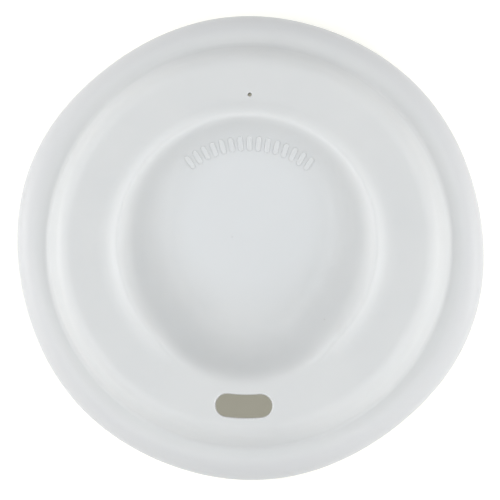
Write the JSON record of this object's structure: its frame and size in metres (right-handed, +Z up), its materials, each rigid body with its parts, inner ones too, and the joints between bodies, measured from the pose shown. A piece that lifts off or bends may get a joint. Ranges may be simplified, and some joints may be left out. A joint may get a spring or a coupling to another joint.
{
  "type": "coffee cup lid",
  "caption": "Round soft lid for a takeaway coffee cup, with a raised crown, a sloping recess, a drinking slot and a small air hole.",
  "frame": {"origin": "centre of the circle that the skirt's lower edge stands on", "axes": "+Z up through the crown, -Y towards the drinking slot, +Y towards the air hole"},
  "size_m": [0.0954, 0.095, 0.0174],
  "materials": {
    "silicone": "matte"
  },
  "bodies": {
    "root": {"lid": "silicone"}
  },
  "joints": []
}
